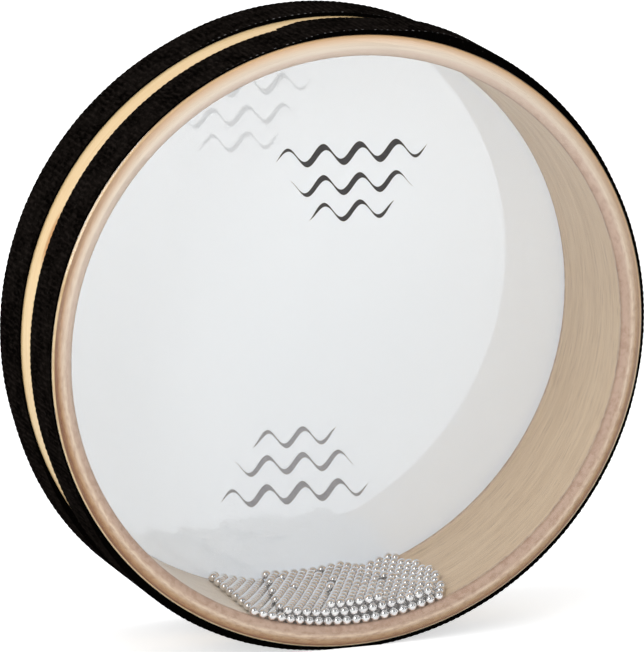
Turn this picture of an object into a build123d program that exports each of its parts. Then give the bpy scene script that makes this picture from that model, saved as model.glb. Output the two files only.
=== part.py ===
from build123d import *
import os
from math import asin, cos, degrees, pi, radians, sin, sqrt

# An ocean drum: a shallow wooden hoop closed by two film heads, with loose steel beads inside.
# Millimetres. It stands on its edge with its axis along Y, the clear front head facing -Y and +Z up.
# The origin is the middle of the drum.

# Shell: a bent plywood hoop with a crowned rim at each end
shell_outer_radius = 126.0
shell_wall = 8.5
shell_depth = 68.0
crest_inset = 5.0  # from the outer face in to the highest line of the rim
outer_rim_drop = 1.7  # from the crest down to the rim's outer corner
inner_rim_drop = 2.5  # from the crest down to the rim's inner corner

# Heads: polyester film laid over the rim and glued down the outside of the shell
film_thickness = 0.25

# Bands: ribbon glued over each head's collar, its two ends butted together
band_width = 25.0
band_thickness = 0.75
band_overlap = 1.5  # how far the ribbon reaches past the end of the collar
band_seam_gap = 0.4
front_seam_angle = -100.0  # below the drum's right side, in degrees
back_seam_angle = 35.0

# Beads: steel balls, in rows across the bottom of the shell that each roll round it on their own
bead_diameter = 4.0
bead_gap = 0.03  # between a bead and those it lies on
side_gap = 0.06  # between neighbours that lie side by side in a layer
row_gap = 0.1  # between one row and the next
wall_clearance = 0.15  # between the lowest beads and the shell
film_clearance = 0.1  # between the front row and the front head

# Where each layer of the heap starts and stops in its front row and in its last one, in degrees
# from the lowest point towards +X
first_layer = (-20.8, 21.2), (-19.4, 20.6)
second_layer = (-14.5, 19.5), (-6.5, 10.4)
third_layer = (-3.6, 8.6), (2.0, 5.0)
first_layer_bulge = 2.4  # how far the right-hand edge swells halfway back
third_layer_share = 0.45  # how much of the drum's depth the third layer covers from the front
second_layer_holes = 17  # one place in so many is empty in the second layer

half_depth = shell_depth / 2
crest_radius = shell_outer_radius - crest_inset
inner_radius = shell_outer_radius - shell_wall
crest_to_bore = shell_wall - crest_inset
collar_radius = shell_outer_radius + film_thickness
band_radius = collar_radius + band_thickness
band_edge = half_depth - outer_rim_drop
band_foot = band_edge - band_width
collar_foot = band_foot + band_overlap
seam_angle = degrees(band_seam_gap / band_radius)

bead_radius = bead_diameter / 2
bead_touch = bead_diameter + bead_gap
floor_radius = inner_radius - wall_clearance - bead_radius
row_pitch = bead_diameter + row_gap
straight_bore = shell_depth - 2 * inner_rim_drop
front_row = bead_radius + film_clearance - half_depth
row_count = int(-2 * front_row // row_pitch) + 1
third_layer_rows = int(third_layer_share * row_count)


def crown_radius(width, drop):
    """Radius of the round that leaves the crest level and falls by drop over width."""
    return (width**2 + drop**2) / (2 * drop)


def crown(width, drop, side, standoff=0.0):
    """Crest, middle and lower end of one crown of the rim, standoff outside the wood.

    A positive width runs outwards from the crest, a negative one towards the bore.
    """
    wood_radius = crown_radius(width, drop)
    radius = wood_radius + standoff
    reach = width + standoff if width > 0 else width
    sweep = asin(reach / radius)
    centre = half_depth - wood_radius
    return [
        (crest_radius + radius * sin(turn), side * (centre + radius * cos(turn)))
        for turn in (0, sweep / 2, sweep)
    ]


os.makedirs("parts", exist_ok=True)

with BuildPart() as shell:
    with BuildSketch(Plane.XY):
        with BuildLine():
            for side in (1, -1):
                outer = crown(crest_inset, outer_rim_drop, side)
                inner = crown(-crest_to_bore, inner_rim_drop, side)
                ThreePointArc(*outer)
                ThreePointArc(*inner)
            Line((shell_outer_radius, band_edge), (shell_outer_radius, -band_edge))
            Line((inner_radius, straight_bore / 2), (inner_radius, -straight_bore / 2))
        make_face()
    revolve(axis=Axis.Y)
shell.part.label = "shell"
export_step(shell.part, "parts/shell.step")

for end, side, seam in (("front", -1, front_seam_angle), ("back", 1, back_seam_angle)):
    with BuildPart() as head:
        with BuildSketch(Plane.XY):
            with BuildLine():
                under = crown(crest_inset, outer_rim_drop, side)
                over = crown(crest_inset, outer_rim_drop, side, film_thickness)
                foot = side * collar_foot
                ThreePointArc(*under)
                ThreePointArc(*over)
                Polyline(under[2], (shell_outer_radius, foot), (collar_radius, foot), over[2])
                Polyline(under[0], (0, under[0][1]), (0, over[0][1]), over[0])
            make_face()
        revolve(axis=Axis.Y)
    head.part.label = f"{end}_head"
    export_step(head.part, f"parts/{end}_head.step")

    with BuildPart() as band:
        with BuildSketch(Plane.XY.rotated((0, seam, 0))):
            with BuildLine():
                Polyline(
                    (collar_radius, side * band_edge),
                    (band_radius, side * band_edge),
                    (band_radius, side * band_foot),
                    (collar_radius, side * band_foot),
                    close=True,
                )
            make_face()
        revolve(axis=Axis.Y, revolution_arc=360 - seam_angle)
    band.part.label = f"{end}_band"
    export_step(band.part, f"parts/{end}_band.step")


def settle(angle, heap):
    """How far out a bead dropped at this angle comes to rest, on the shell or on the heap."""
    radius = floor_radius
    for other_angle, other_radius in heap:
        apart = radians(angle - other_angle)
        across = other_radius * sin(apart)
        if abs(across) < bead_touch:
            top = other_radius * cos(apart) - sqrt(bead_touch**2 - across**2)
            radius = min(radius, top)
    return radius


def layer_angles(start, stop, radius):
    """Angles of the beads that lie side by side from start to stop at this radius."""
    step = degrees(asin((bead_diameter + side_gap) / radius))
    count = int((stop - start) / step) + 1
    return [start + step * n for n in range(count)]


def layer_ends(layer, share):
    """Where a layer starts and stops, this share of the way from its front row to its last."""
    return [front + share * (last - front) for front, last in zip(*layer)]


def hollow(angle, below):
    """The hollow between two beads of the layer below that is nearest to this angle."""
    hollows = [(left + right) / 2 for left, right in zip(below, below[1:])]
    return min(hollows, key=lambda middle: abs(middle - angle))


def heap_row(row):
    """Angle and radius of each bead in one row, counted from the front."""
    share = row / (row_count - 1)
    start, stop = layer_ends(first_layer, share)
    stagger = degrees(bead_radius / floor_radius) if row % 2 else 0
    swell = first_layer_bulge * sin(pi * share)
    first = layer_angles(start + stagger, stop + swell, floor_radius)
    start, stop = layer_ends(second_layer, share)
    second = layer_angles(hollow(start, first), stop, floor_radius - bead_diameter)
    third = []
    if row < third_layer_rows:
        start, stop = layer_ends(third_layer, row / third_layer_rows)
        third = layer_angles(hollow(start, second), stop, floor_radius - 2 * bead_diameter)
    else:
        second = [angle for n, angle in enumerate(second) if (3 * n + 5 * row) % second_layer_holes]
    heap = []
    for angle in first + second + third:
        heap.append((angle, settle(angle, heap)))
    return heap


for row in range(row_count):
    places = [
        (radius * sin(radians(angle)), front_row + row * row_pitch, -radius * cos(radians(angle)))
        for angle, radius in heap_row(row)
    ]
    with BuildPart() as bead_row:
        with Locations(*places):
            Sphere(bead_radius)
    bead_row.part.label = f"bead_row_{row + 1:02d}"
    export_step(bead_row.part, f"parts/bead_row_{row + 1:02d}.step")
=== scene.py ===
from math import asin, cos, degrees, hypot, pi, radians, sin, tau
from random import Random

import bmesh
import bpy
from mathutils import Matrix, Vector


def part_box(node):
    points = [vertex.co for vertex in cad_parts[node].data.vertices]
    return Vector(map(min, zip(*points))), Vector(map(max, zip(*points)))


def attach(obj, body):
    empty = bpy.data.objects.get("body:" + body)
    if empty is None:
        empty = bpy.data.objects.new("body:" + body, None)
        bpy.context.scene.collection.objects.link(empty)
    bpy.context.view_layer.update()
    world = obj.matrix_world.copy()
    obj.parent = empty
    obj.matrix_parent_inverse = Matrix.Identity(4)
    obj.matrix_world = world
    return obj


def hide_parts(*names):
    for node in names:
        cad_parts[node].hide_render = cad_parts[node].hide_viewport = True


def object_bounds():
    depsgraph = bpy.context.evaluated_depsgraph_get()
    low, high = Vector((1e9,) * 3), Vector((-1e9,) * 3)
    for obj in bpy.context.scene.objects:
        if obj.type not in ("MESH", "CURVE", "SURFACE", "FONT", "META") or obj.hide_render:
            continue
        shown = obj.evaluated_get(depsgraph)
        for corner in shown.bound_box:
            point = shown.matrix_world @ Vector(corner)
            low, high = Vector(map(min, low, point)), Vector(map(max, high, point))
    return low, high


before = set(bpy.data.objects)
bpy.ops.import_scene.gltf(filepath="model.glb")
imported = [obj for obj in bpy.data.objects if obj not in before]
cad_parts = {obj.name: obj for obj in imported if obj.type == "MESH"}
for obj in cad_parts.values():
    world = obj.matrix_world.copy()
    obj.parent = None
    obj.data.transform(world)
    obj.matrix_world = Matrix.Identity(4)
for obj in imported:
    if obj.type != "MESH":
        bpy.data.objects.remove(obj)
cad_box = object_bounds()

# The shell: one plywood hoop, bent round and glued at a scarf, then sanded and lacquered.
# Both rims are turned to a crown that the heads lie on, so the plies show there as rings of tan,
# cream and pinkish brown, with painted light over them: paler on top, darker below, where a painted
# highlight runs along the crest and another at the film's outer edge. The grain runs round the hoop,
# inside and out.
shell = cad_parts["shell"]
shell_radius = max(hypot(v.co.x, v.co.z) for v in shell.data.vertices)
bore_radius = min(hypot(v.co.x, v.co.z) for v in shell.data.vertices)
shell_half_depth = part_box("shell")[1].y
rim_drop = 0.0026  # from the crest to where the turned crown ends

# Angles round the drum run anticlockwise from the right, as seen from the front
knot_angle = radians(158.5)
knot_offset = -0.0045  # from the middle of the shell, towards the front
knot_length, knot_width = 0.014, 0.0036
# A stretch of the inside at the lower left is painted paler: painted light
painted_light_angle = radians(234)  # the middle of a paler stretch of the inside

outside_light, outside_dark = (0.95, 0.72, 0.40), (0.80, 0.52, 0.22)
# The outside's upper part takes painted shade, darker to offset the light from above
outside_painted_shade = (0.60, 0.42, 0.215)
knot_brown = (0.56, 0.25, 0.055)
inside_light, inside_dark = (0.862, 0.66, 0.435), (0.665, 0.47, 0.282)
inside_painted_light = (0.97, 0.86, 0.71)
pore_brown = (0.42, 0.27, 0.16)
rim_grain = (0.45, 0.28, 0.16)
rim_blotch = (0.82, 0.74, 0.70)

# Colours across the rim, from the bore at 0 to the outside at 1, in its upper part and in its lower
# part: the plies' tones with painted light on them. The upper part's are painted paler, as lit from
# above. The lower part's are painted darker, as in shade, with a painted highlight along the crest,
# painted shade on the outer crown and a painted highlight at the film's outer edge.
plies_painted_lit = [
    (0.00, (0.58, 0.38, 0.27)),
    (0.06, (0.92, 0.74, 0.60)),
    (0.30, (0.94, 0.76, 0.62)),
    (0.40, (0.97, 0.83, 0.68)),
    (0.60, (0.98, 0.82, 0.65)),
    (0.70, (0.97, 0.77, 0.58)),
    (0.77, (0.95, 0.71, 0.50)),
    (0.86, (0.89, 0.62, 0.40)),
    (0.90, (0.80, 0.52, 0.29)),
    (0.945, (0.80, 0.51, 0.27)),
    (1.00, (0.52, 0.29, 0.11)),
]
plies_painted_shaded = [
    (0.00, (0.54, 0.35, 0.24)),
    (0.06, (0.68, 0.47, 0.35)),
    (0.33, (0.68, 0.47, 0.34)),
    (0.40, (0.82, 0.62, 0.46)),
    (0.47, (0.95, 0.76, 0.58)),
    (0.54, (0.80, 0.60, 0.42)),
    (0.66, (0.59, 0.36, 0.18)),
    (0.72, (0.43, 0.20, 0.06)),
    (0.78, (0.26, 0.085, 0.012)),
    (0.875, (0.22, 0.07, 0.008)),
    (0.915, (0.95, 0.70, 0.37)),
    (1.00, (0.97, 0.76, 0.44)),
]


class Shade:
    """One output socket of a material's nodes, so that shader maths reads as an expression."""

    def __init__(self, tree, socket=None):
        self.tree = tree
        self.socket = socket

    def add(self, kind, settings=None, values=None, out=0):
        """A node of this kind, its settings made first, then its sockets given values or links."""
        node = self.tree.nodes.new(kind)
        for name, setting in (settings or {}).items():
            if name == "stops":
                ramp = node.color_ramp.elements
                while len(ramp) < len(setting):
                    ramp.new(1.0)
                for element, (place, colour) in zip(ramp, setting):
                    element.position = place
                    element.color = (*colour, 1.0)
            else:
                setattr(node, name, setting)
        for name, value in (values or {}).items():
            target = node.inputs[name]
            if isinstance(value, Shade):
                self.tree.links.new(value.socket, target)
            else:
                target.default_value = value
        return Shade(self.tree, node.outputs[out])

    def maths(self, operation, *others):
        """A Math node on this value and the others."""
        values = dict(enumerate((self, *others)))
        return self.add("ShaderNodeMath", {"operation": operation}, values)

    def __add__(self, other):
        return self.maths("ADD", other)

    __radd__ = __add__

    def __mul__(self, other):
        return self.maths("MULTIPLY", other)

    __rmul__ = __mul__

    def __sub__(self, other):
        return self.maths("SUBTRACT", other)

    def __rsub__(self, other):
        return self * -1.0 + other

    def ease(self, low, high):
        """0 at low and 1 at high, level beyond them, with a smooth rise between them."""
        settings = {"interpolation_type": "SMOOTHSTEP"}
        return self.add("ShaderNodeMapRange", settings, {0: self, 1: low, 2: high})

    def mix(self, a, b, blend="MIX"):
        """Colour a where this is 0, and where it is 1 colour b or the blend of both."""
        colours = [c if isinstance(c, Shade) else (*c, 1.0) for c in (a, b)]
        settings = {"data_type": "RGBA", "blend_type": blend}
        return self.add("ShaderNodeMix", settings, {0: self, 6: colours[0], 7: colours[1]}, out=2)


def start_material(name):
    """A new material with its node tree, its Principled shader and the place on the object."""
    material = bpy.data.materials.new(name)
    material.use_nodes = True
    tree = material.node_tree
    surface = tree.nodes["Principled BSDF"]
    place = Shade(tree).add("ShaderNodeTexCoord", out="Object")
    return material, tree, surface, place


def feed(tree, surface, **sockets):
    """Links or sets sockets of the shader; an underscore in a name stands for a space."""
    for name, value in sockets.items():
        target = surface.inputs[name.replace("_", " ")]
        if isinstance(value, Shade):
            tree.links.new(value.socket, target)
        else:
            target.default_value = value


def part_of(vector, axis):
    """The X, Y or Z of a vector."""
    return vector.add("ShaderNodeSeparateXYZ", values={0: vector}, out=axis)


def speckle(vector, scale, detail, roughness=0.5):
    """Plain noise with this many specks to the metre, or to the vector's own unit."""
    values = {"Vector": vector, "Scale": scale, "Detail": detail, "Roughness": roughness}
    return vector.add("ShaderNodeTexNoise", values=values)


def streaks(x, across, z, length, width, detail=3.0):
    """Noise drawn out round the drum into streaks of about this length and width, in metres."""
    values = {0: x * (1 / length), 1: across * (1 / width), 2: z * (1 / length)}
    stretched = x.add("ShaderNodeCombineXYZ", values=values)
    return speckle(stretched, 1.0, detail, roughness=0.6)


plywood, tree, surface, place = start_material("lacquered_plywood")
x, y, z = [part_of(place, axis) for axis in "XYZ"]
radius = (x * x + z * z).maths("SQRT")
ring = (radius - bore_radius) * (1 / (shell_radius - bore_radius))
across = y + radius
broad = streaks(x, across, z, length=0.09, width=0.006)
fine = streaks(x, across, z, length=0.03, width=0.0011)
pores = streaks(x, across, z, length=0.011, width=0.0005, detail=2.0).ease(0.56, 0.70)
blotch = streaks(x, across, z, length=0.003, width=0.0013, detail=4.0)
grain = broad.ease(0.3, 0.7) * 0.3 + fine.ease(0.3, 0.7) * 0.4 + pores * 0.3

knot_place = (shell_radius * cos(knot_angle), knot_offset, shell_radius * sin(knot_angle))
knot_scale = (1 / knot_length, 1 / knot_width, 1 / knot_length)
offset = place.add("ShaderNodeVectorMath", {"operation": "SUBTRACT"}, {0: place, 1: knot_place})
spread = place.add("ShaderNodeVectorMath", {"operation": "MULTIPLY"}, {0: offset, 1: knot_scale})
knot = place.add("ShaderNodeVectorMath", {"operation": "LENGTH"}, {0: spread}, out="Value")
knot = (knot + fine * 0.8).ease(1.5, 0.7)
outside = grain.mix(outside_light, outside_dark)
# Painted shade: the outside is painted darker towards the top, against the light from above
outside = (z.ease(0.0, 0.1) * 0.45).mix(outside, outside_painted_shade)
outside = (knot * 0.95).mix(outside, knot_brown)

# Painted light: the inside is painted paler over a stretch at the lower left
painted_light_stretch = x * cos(painted_light_angle) + z * sin(painted_light_angle)
painted_light_stretch = painted_light_stretch.ease(bore_radius * 0.86, bore_radius * 0.97)
inside = grain.mix(inside_light, inside_dark)
inside = (painted_light_stretch * 0.8).mix(inside, inside_painted_light)
inside = (pores * 0.45).mix(inside, pore_brown)

# The outer plies, with the painted shade and highlight on them, lie further out towards the bottom,
# and the upper part's painted light reaches further down on the left at the bore and on the right
# at the outside
low = (z * (1 / shell_radius)).maths("MINIMUM", 0.0)
shift = low * ring.ease(0.6, 0.85) * ring.ease(0.99, 0.90) * 0.13
ply = ring + shift + (blotch - 0.5) * 0.03
rings_painted_shaded = ply.add("ShaderNodeValToRGB", {"stops": plies_painted_shaded}, {0: ply})
rings_painted_lit = ply.add("ShaderNodeValToRGB", {"stops": plies_painted_lit}, {0: ply})
lean = ring * 0.9 - 0.55
# How much of the rim takes the upper part's painted light, most towards the top
painted_top_light = ((z * 0.85 + x * lean + fine * 0.03) * (1 / shell_radius)).ease(-0.25, 1.05)
rim = (grain * 0.24).mix(painted_top_light.mix(rings_painted_shaded, rings_painted_lit), rim_grain)
rim = (blotch.ease(0.42, 0.66) * (1 - painted_top_light)).mix(rim, rim_blotch, blend="MULTIPLY")

wall = ring.ease(0.45, 0.55).mix(inside, outside)
rim_start = shell_half_depth - rim_drop * 1.7
rim_full = shell_half_depth - rim_drop * 0.85
on_rim = (y.maths("ABSOLUTE") + (blotch - 0.5) * 0.004).ease(rim_start, rim_full)
feed(
    tree,
    surface,
    Base_Color=on_rim.mix(wall, rim),
    Roughness=grain * 0.12 + 0.42,
    Normal=grain.add("ShaderNodeBump", values={"Strength": 0.1, "Distance": 0.0002, "Height": grain}),
    Coat_Weight=0.06,
    Coat_Roughness=0.3,
)
shell.data.materials.clear()
shell.data.materials.append(plywood)

# The heads: two discs of polyester film, shrunk tight over the crowns and glued down the outside.
# The front film is clear and all but unseen, apart from its gloss. The back film is coated white,
# lets some light through, and its gloss mirrors the bore, the beads and the front of the drum.
back_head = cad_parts["back_head"]
head_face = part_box("back_head")[1].y
film_thickness = head_face - shell_half_depth
glue_line = film_thickness * 0.3
collar_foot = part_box("front_head")[1].y
near = 0.00001  # a vertex this close to a face lies on it
crest = [v.co for v in shell.data.vertices if v.co.y > shell_half_depth - near]
outer_face = [v.co for v in shell.data.vertices if hypot(v.co.x, v.co.z) > shell_radius - near]
crest_radius = min(hypot(spot.x, spot.z) for spot in crest)
rim_edge = max(spot.y for spot in outer_face)
crown_width, crown_drop = shell_radius - crest_radius, shell_half_depth - rim_edge
crown_round = (crown_width**2 + crown_drop**2) / (2 * crown_drop)
crown_steps = 12
film_steps = 240
film_crease = radians(40)
film_white, film_shade = (0.705, 0.805, 0.985), (0.675, 0.785, 0.97)


def film_line(standoff):
    """Places from the axis over the crest and the crown to the collar's foot, off the wood."""
    reach = crown_round + standoff
    sweep = asin((crown_width + standoff) / reach)
    turns = [sweep * step / crown_steps for step in range(crown_steps + 1)]
    middle = shell_half_depth - crown_round
    crown = [(crest_radius + reach * sin(turn), -middle - reach * cos(turn)) for turn in turns]
    return [(0.0, -shell_half_depth - standoff), *crown, (shell_radius + standoff, collar_foot)]


def place_piece(name, bm):
    """The piece that this bmesh makes, in the scene and riding on the drum."""
    mesh = bpy.data.meshes.new(name)
    bm.to_mesh(mesh)
    bm.free()
    piece = bpy.data.objects.new(name, mesh)
    bpy.context.scene.collection.objects.link(piece)
    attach(piece, "drum")
    return piece


bm = bmesh.new()
line = film_line(film_thickness) + film_line(glue_line)[::-1]
verts = [bm.verts.new((out, along, 0)) for out, along in line]
edges = [bm.edges.new(pair) for pair in zip(verts, verts[1:])]
bmesh.ops.spin(
    bm, geom=verts + edges, cent=(0, 0, 0), axis=(0, 1, 0), angle=tau, steps=film_steps, use_merge=True
)
bmesh.ops.remove_doubles(bm, verts=bm.verts, dist=1e-7)
bmesh.ops.recalc_face_normals(bm, faces=bm.faces)
front_film = place_piece("front_film", bm)
front_film.data.shade_smooth()
front_film.data.set_sharp_from_angle(angle=film_crease)
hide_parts("front_head")

clear_film, tree, surface, place = start_material("clear_film")
scuffs = speckle(place, 55.0, 4.0)
feed(tree, surface, Base_Color=(0.97, 0.98, 1.0, 1.0), Metallic=1.0, Roughness=scuffs * 0.05 + 0.03)
window = place.add("ShaderNodeBsdfTransparent", values={"Color": (0.985, 0.988, 0.99, 1.0)})
gleam = Shade(tree, surface.outputs[0])
glint = place.add("ShaderNodeLayerWeight", values={"Blend": 0.5}, out="Facing")
glint = glint.maths("POWER", 5.0) * 0.9 + 0.018
film = place.add("ShaderNodeMixShader", values={0: glint, 1: window, 2: gleam})
tree.links.new(film.socket, tree.nodes["Material Output"].inputs["Surface"])
front_film.data.materials.append(clear_film)

white_film, tree, surface, place = start_material("white_film")
cloud = speckle(place, 14.0, 5.0)
speck = speckle(place, 900.0, 2.0)
feed(
    tree,
    surface,
    Base_Color=(cloud * 0.6 + speck * 0.4).ease(0.3, 0.7).mix(film_shade, film_white),
    Roughness=cloud * 0.04 + 0.03,
    IOR=1.6,
    Coat_Weight=1.0,
    Coat_Roughness=0.0,
    Coat_IOR=1.85,
    Subsurface_Weight=1.0,
    Subsurface_Radius=(1.0, 1.0, 1.0),
    Subsurface_Scale=0.003,
)
back_head.data.materials.clear()
back_head.data.materials.append(white_film)

# The bands: two black cotton ribbons with ribs across them, each wound round a head's collar and glued.
# The front one runs on over its own start, stands off there and is cut square near the top; the back
# one's ends meet out of sight. Both hang slack at the lower left, and the ribs make their edges wavy.
rib_count = 300
rib_height = 0.0003
rib_roundness = 0.7
lowest_rib = 0.55  # ribs are uneven, from this share of the height to all of it
rib_seed = 7
edge_wave = 0.00012
edge_sharpness = 10  # how closely the wave and the reach keep to the edges
edge_fill = 0.4  # how much of the depth between two ribs is filled at the edges
rim_reach = 0.0002  # how far the edges reach past the flat width, over the corner of the film
steps_per_rib = 6
rows_across = 12
ribbon_crease = radians(50)

# Where each ribbon's outer end is, and how far it runs on over the start
ribbon_laps = {"front_band": (radians(100), radians(34)), "back_band": (radians(-35), 0.0)}
lap_rise = radians(40)  # the ribbon starts to lift this far before its own start
lap_curve = 1.2  # how hollow the climb is
lap_standoff = 0.0033
lap_drift = 0.0015  # sideways, at the edge towards the middle of the drum
settle_start, settle_span = 0.12, 0.4  # where along the lap it comes down again, and over how much
settle_loss = 0.65  # how much of the stand-off it loses there
end_share = 1 / 8  # the last stretch of the lap, over which it comes down to its glued end

# Each slack place: its loosest angle, how far it runs before and after that, all in degrees, and
# how far the ribbon stands off there
slack_places = {
    "front_band": [(232, 32, 40, 0.0026), (285, 40, 75, 0.0008), (40, 70, 30, 0.0005)],
    "back_band": [(230, 33, 40, 0.0026), (92, 35, 25, 0.0008)],
}
slack_curve = 1.3  # how gently the slack runs out

thread_pitch = 0.0011
dash_length, dash_width = 0.0045, 0.0013
cut_edge = 0.0003
selvedge_width, selvedge_fade = 0.0012, 0.0004
# Black cotton, and the grey of its lighter threads with the painted highlight on the rib tops
cotton_black, cotton_grey_and_highlight = (0.0004, 0.0003, 0.0002), (0.0165, 0.0130, 0.0112)
cut_black = (0.0015, 0.0012, 0.0010)
lint_grey = (0.06, 0.055, 0.05)


def share(value):
    """The value, held between 0 and 1."""
    return min(1.0, max(0.0, value))


def lap_lift(turn, lap):
    """How far along its climb the ribbon is at this turn of its length, and how far it stands off."""
    climb = share((turn - tau + lap_rise) / lap_rise)
    past = share((turn - tau) / lap)
    settled = share((past - settle_start) / settle_span)
    settled = settled * settled * (3 - 2 * settled)
    glued = share((1 - past) / end_share)
    return climb, lap_standoff * climb**lap_curve * (1 - settle_loss * settled) * glued


def slack_height(node, angle):
    """How far the ribbon of one band hangs off at this angle."""
    heights = []
    for loosest, before, after, height in slack_places[node]:
        past = (degrees(angle) - loosest + 180) % 360 - 180
        fade = share(past / after if past > 0 else -past / before)
        heights.append(height * max(0.0, cos(pi / 2 * fade)) ** slack_curve)
    return max(heights)


def ribbon(node, seam, lap):
    """The ribbon of one band: a flat strip wrapped round, then thickened down to what it lies on."""
    radii = [hypot(v.co.x, v.co.z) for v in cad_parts[node].data.vertices]
    inner, outer = min(radii), max(radii)
    low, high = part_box(node)
    middle, width = (low.y + high.y) / 2, high.y - low.y
    turns = 1 + lap / tau
    length = turns * tau * outer
    steps = round(rib_count * steps_per_rib * turns)
    uneven = Random(rib_seed)
    ribs = [uneven.uniform(lowest_rib, 1.0) for rib in range(round(rib_count * turns) + 2)]
    bm = bmesh.new()
    flat = bm.loops.layers.uv.new("UVMap")
    bmesh.ops.create_grid(bm, x_segments=steps, y_segments=rows_across, size=0.5, calc_uvs=True)
    for face in bm.faces:
        for loop in face.loops:
            loop[flat].uv = (loop[flat].uv.x * length, loop[flat].uv.y * width)
    under = bmesh.ops.extrude_face_region(bm, geom=bm.faces[:])["geom"]
    under = {v for v in under if isinstance(v, bmesh.types.BMVert)}
    for vert in bm.verts:
        turn = (vert.co.x + 0.5) * turns * tau
        rib_place = turn * rib_count / tau
        ridge = (0.5 + 0.5 * cos(tau * rib_place)) ** rib_roundness * ribs[round(rib_place)]
        edge = abs(2 * vert.co.y) ** edge_sharpness
        radius = outer - rib_height * (1 - ridge) * (1 - edge_fill * edge)
        shift = (edge_wave * (ridge - 1) + rim_reach) * edge * (1 if vert.co.y > 0 else -1)
        if lap:
            climb, lift = lap_lift(turn, lap)
            radius += lift
            shift += lap_drift * climb * (0.5 + vert.co.y)
        angle = seam - lap + turn
        radius += slack_height(node, angle)
        if vert in under:
            radius = inner if turn < tau else outer
        along = middle + vert.co.y * width + shift
        vert.co = (radius * cos(angle), along, radius * sin(angle))
    bmesh.ops.recalc_face_normals(bm, faces=bm.faces)
    piece = place_piece(f"{node}_ribbon", bm)
    piece.data.shade_smooth()
    piece.data.set_sharp_from_angle(angle=ribbon_crease)
    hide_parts(node)
    return piece


black_cotton, tree, surface, place = start_material("black_ribbed_cotton")
flat = place.add("ShaderNodeUVMap", {"uv_map": "UVMap"})
along, across = part_of(flat, "X"), part_of(flat, "Y")
rib_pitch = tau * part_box("front_band")[1].z / rib_count
ridge = (along * (tau / rib_pitch)).maths("COSINE") * 0.5 + 0.5
threads = (across * (tau / thread_pitch)).maths("SINE") * 0.5 + 0.5
weft = {0: along * (1 / dash_width), 1: across * (1 / dash_length)}
dashes = speckle(flat.add("ShaderNodeCombineXYZ", values=weft), 1.0, 3.0)
yarn = speckle(place, 900.0, 4.0, roughness=0.75)
patch = speckle(place, 90.0, 4.0)
lint = speckle(place, 700.0, 2.0)
# Grey threads in dashes and patches, the yarn's own tone, plus a painted highlight on the rib tops
grey_threads_and_rib_highlight = dashes.ease(0.38, 0.66) * (ridge * 0.7 + 0.3) * 0.6
grey_threads_and_rib_highlight = grey_threads_and_rib_highlight + yarn.ease(0.4, 0.62) * 0.2 + patch.ease(0.4, 0.6) * 0.2
cut = across.ease(cut_edge, 0.0)
cloth = cut.mix(grey_threads_and_rib_highlight.mix(cotton_black, cotton_grey_and_highlight), cut_black)
weave = threads * 0.3 + yarn * 0.6 + dashes * 1.2

# The selvedge's shiny threads show only near the top
near_top = part_of(place, "Z").ease(0.108, 0.122)
selvedge = (across - selvedge_width).ease(0.0, -selvedge_fade) * (1 - cut) * near_top
selvedge = selvedge * ridge.ease(0.6, 0.9) * dashes.ease(0.45, 0.55)
feed(
    tree,
    surface,
    Base_Color=(lint.ease(0.68, 0.76) * 0.3).mix(cloth, lint_grey),
    Roughness=yarn * 0.15 + 0.8,
    Normal=weave.add("ShaderNodeBump", values={"Strength": 0.8, "Distance": 0.0003, "Height": weave}),
    Coat_Weight=selvedge * 0.6,
    Coat_Roughness=0.25,
    Specular_IOR_Level=0.0,
)
for node, (seam, lap) in ribbon_laps.items():
    ribbon(node, seam, lap).data.materials.append(black_cotton)

# The beads: hundreds of loose steel balls, ground and polished, that roll round inside the shell.
# They carry faint scuffs and a slightly uneven tone from knocking against each other.
steel_dull, steel_bright = (0.78, 0.77, 0.765), (0.91, 0.90, 0.895)
polished_steel, tree, surface, place = start_material("polished_steel")
tarnish = speckle(place, 260.0, 3.0)
scuff = speckle(place, 2400.0, 3.0)
feed(
    tree,
    surface,
    Base_Color=tarnish.ease(0.3, 0.7).mix(steel_dull, steel_bright),
    Metallic=0.95,
    Roughness=scuff * 0.05 + 0.05,
)
for name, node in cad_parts.items():
    if name.startswith("bead_row"):
        node.data.materials.clear()
        node.data.materials.append(polished_steel)

# The prints: screen-printed ink on the outside of each head, three wave lines under one another.
# The back head is turned half round, so its print stands on its head at the bottom. Where it shows
# faintly through the white film, a grey copy on the film's inside face is its painted shadow.
ink_height = 0.00004
print_height = 0.0785  # of the first line above the drum's axis
wave_length = 0.0155
wave_swing = 0.0032
wave_steps = 96
stroke_swell = 0.38  # the stroke is widest where the wave rises
thinnest = 0.02  # the share of the stroke that is left at both ends

# Each line: how far it lies above the first one, its length and its stroke
wave_lines = [(0.0, 0.064, 0.0044), (-0.0125, 0.052, 0.0038), (-0.0235, 0.036, 0.0032)]


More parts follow.
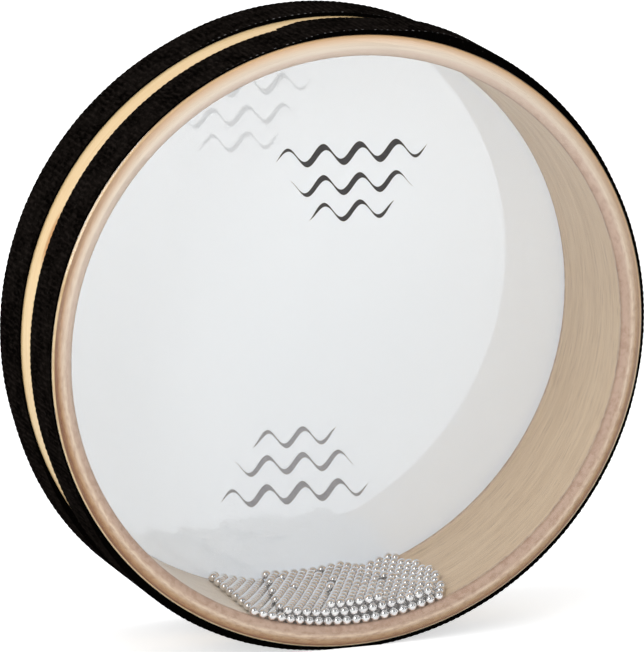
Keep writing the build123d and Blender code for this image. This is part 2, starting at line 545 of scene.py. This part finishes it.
def wave_print(name, face, outwards, turn):
    """Three wave lines of ink on a head's face, tapering to both ends."""
    bm = bmesh.new()
    for rise, length, stroke in wave_lines:
        made = bmesh.ops.create_grid(bm, x_segments=wave_steps, y_segments=2, size=0.5)["verts"]
        for vert in made:
            along, across = vert.co.x, vert.co.y
            phase = tau * along * length / wave_length
            taper = (1 - (2 * along) ** 4) * (1 - stroke_swell + stroke_swell * cos(phase))
            height = print_height + rise + wave_swing * sin(phase)
            vert.co = (along * length, face, height + across * stroke * max(taper, thinnest))
    bmesh.ops.recalc_face_normals(bm, faces=bm.faces)
    if bm.faces[:][0].normal.y * outwards < 0:
        bmesh.ops.reverse_faces(bm, faces=bm.faces)
    raised = bmesh.ops.extrude_face_region(bm, geom=bm.faces[:])["geom"]
    lifted = [v for v in raised if isinstance(v, bmesh.types.BMVert)]
    bmesh.ops.translate(bm, verts=lifted, vec=(0, outwards * ink_height, 0))
    bmesh.ops.rotate(bm, verts=bm.verts, cent=(0, 0, 0), matrix=Matrix.Rotation(turn, 3, "Y"))
    bmesh.ops.recalc_face_normals(bm, faces=bm.faces)
    return place_piece(name, bm)


def ink(name, light, dark):
    """Screen ink, or a print's painted shadow, of one tone, a little uneven where the mesh laid it
    thin.
    """
    material, tree, surface, place = start_material(name)
    uneven = speckle(place, 500.0, 3.0)
    feed(
        tree,
        surface,
        Base_Color=uneven.ease(0.35, 0.65).mix(dark, light),
        Roughness=uneven * 0.1 + 0.4,
    )
    return material


dark_ink = ink("dark_grey_ink", (0.040, 0.036, 0.036), (0.028, 0.025, 0.025))
# The grey of the back print's painted shadow, seen through the white film
print_shadow_grey = ink("painted_print_shadow", (0.42, 0.42, 0.435), (0.38, 0.38, 0.395))
film_inside = head_face - film_thickness
wave_print("front_print", -head_face, -1, 0).data.materials.append(dark_ink)
wave_print("back_print", head_face, 1, pi).data.materials.append(dark_ink)
# A grey copy on the white film's inside face: the back print's painted shadow
wave_print("back_print_painted_shadow", film_inside, -1, pi).data.materials.append(print_shadow_grey)

# The studio: a pale floor under the drum's edge and an even white room. Two tall soft lamps stand in
# front, the left one stronger, and show in every bead as bright strips. A wide one hangs above, and
# one behind shines through the white head; gloss doesn't show these two.
floor_reach = 12.0
floor_grey = (0.8, 0.8, 0.8, 1.0)
floor_glow = 0.62  # what eye and gloss see of the floor beside the light that falls on it
floor_dimming = 0.25  # how much less of the glow gloss sees under the drum and behind it
floor_return = 0.45  # how much more of it gloss sees well in front of the drum
room_light = 0.47  # the share of the room's white that lights the drum
room_dimming = 0.7  # the share of the room in front that gloss doesn't see
white = (1, 1, 1, 1)

# Place and size in metres, power in watts, and whether gloss shows the lamp
lamps = {
    "left_softbox": ((-1.5, -1.5, 0.9), (0.5, 1.4), 14.0, True),
    "right_softbox": ((1.1, -1.9, 0.8), (0.5, 1.4), 3.0, True),
    "top_softbox": ((-0.5, -0.35, 2.0), (1.8, 1.0), 17.0, False),
    "back_light": ((-0.7, 1.5, 0.3), (1.2, 1.2), 11.0, False),
}


def seen_ray(tree):
    """1 for rays from the camera and for what metal, gloss and film show of the background."""
    kinds = ("Is Camera Ray", "Is Glossy Ray", "Is Transmission Ray")
    rays = [Shade(tree).add("ShaderNodeLightPath", out=kind) for kind in kinds]
    return rays[0].maths("MAXIMUM", rays[1]).maths("MAXIMUM", rays[2])


floor_mesh = bpy.data.meshes.new("floor")
bm = bmesh.new()
bmesh.ops.create_grid(bm, x_segments=1, y_segments=1, size=floor_reach)
bmesh.ops.translate(bm, verts=bm.verts, vec=(0, 0, cad_box[0].z))
bm.to_mesh(floor_mesh)
bm.free()
floor = bpy.data.objects.new("floor", floor_mesh)
bpy.context.scene.collection.objects.link(floor)

pale_floor, tree, surface, place = start_material("pale_floor")
feed(tree, surface, Base_Color=floor_grey, Roughness=0.9, Specular_IOR_Level=0.0)
gloss = place.add("ShaderNodeLightPath", out="Is Glossy Ray")
ahead = part_of(place, "Y").ease(-0.25, -0.95)
strength = seen_ray(tree) * floor_glow - gloss * (floor_dimming - ahead * floor_return)
glow = place.add("ShaderNodeEmission", values={"Color": white, "Strength": strength})
both = place.add("ShaderNodeAddShader", values={0: Shade(tree, surface.outputs[0]), 1: glow})
tree.links.new(both.socket, tree.nodes["Material Output"].inputs["Surface"])
floor_mesh.materials.append(pale_floor)

room = bpy.data.worlds.new("white_room")
room.use_nodes = True
tree = room.node_tree
seen = seen_ray(tree)
gloss = seen.add("ShaderNodeLightPath", out="Is Glossy Ray")
behind = part_of(seen.add("ShaderNodeTexCoord", out="Generated"), "Y").ease(-0.55, 0.1)
strength = (seen * (1 - room_light) + room_light) * (1 - gloss * (1 - behind) * room_dimming)
background = tree.nodes["Background"]
tree.links.new(strength.socket, background.inputs["Strength"])
background.inputs["Color"].default_value = white
bpy.context.scene.world = room

for name, (spot, size, power, mirrored) in lamps.items():
    lamp = bpy.data.lights.new(name, "AREA")
    lamp.shape = "RECTANGLE"
    lamp.size, lamp.size_y = size
    lamp.energy = power
    softbox = bpy.data.objects.new(name, lamp)
    softbox.location = spot
    softbox.rotation_mode = "QUATERNION"
    softbox.rotation_quaternion = (-Vector(spot)).to_track_quat("-Z", "Y")
    softbox.visible_glossy = mirrored
    softbox.visible_camera = False
    bpy.context.scene.collection.objects.link(softbox)

# The camera: a long lens a few metres off, to the left of the drum and a little above it. The front
# band's edge circle is centred on the target, which lands on the picture's target pixel.
picture_width, picture_height = 644, 652
turn, height = radians(19.804), radians(13.55)
distance = 3.5
pixels_per_slope = 8711.5
target = Vector((0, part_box("front_band")[0].y, 0))
target_pixel = (350.0, 342.9)
forward = Vector((sin(turn) * cos(height), cos(turn) * cos(height), -sin(height)))
right = Vector((cos(turn), -sin(turn), 0))
up = right.cross(forward)
slide = (target_pixel[0] - picture_width / 2) / pixels_per_slope * distance
drop = (target_pixel[1] - picture_height / 2) / pixels_per_slope * distance
lens = bpy.data.cameras.new("camera")
lens.sensor_fit = "HORIZONTAL"
lens.sensor_width = 36
lens.lens = lens.sensor_width * pixels_per_slope / picture_width
camera = bpy.data.objects.new("camera", lens)
spot = target - forward * distance - right * slide + up * drop
camera.matrix_world = Matrix.Translation(spot) @ Matrix((right, up, -forward)).transposed().to_4x4()
bpy.context.scene.collection.objects.link(camera)
bpy.context.scene.camera = camera
bpy.context.scene.view_settings.view_transform = "Standard"
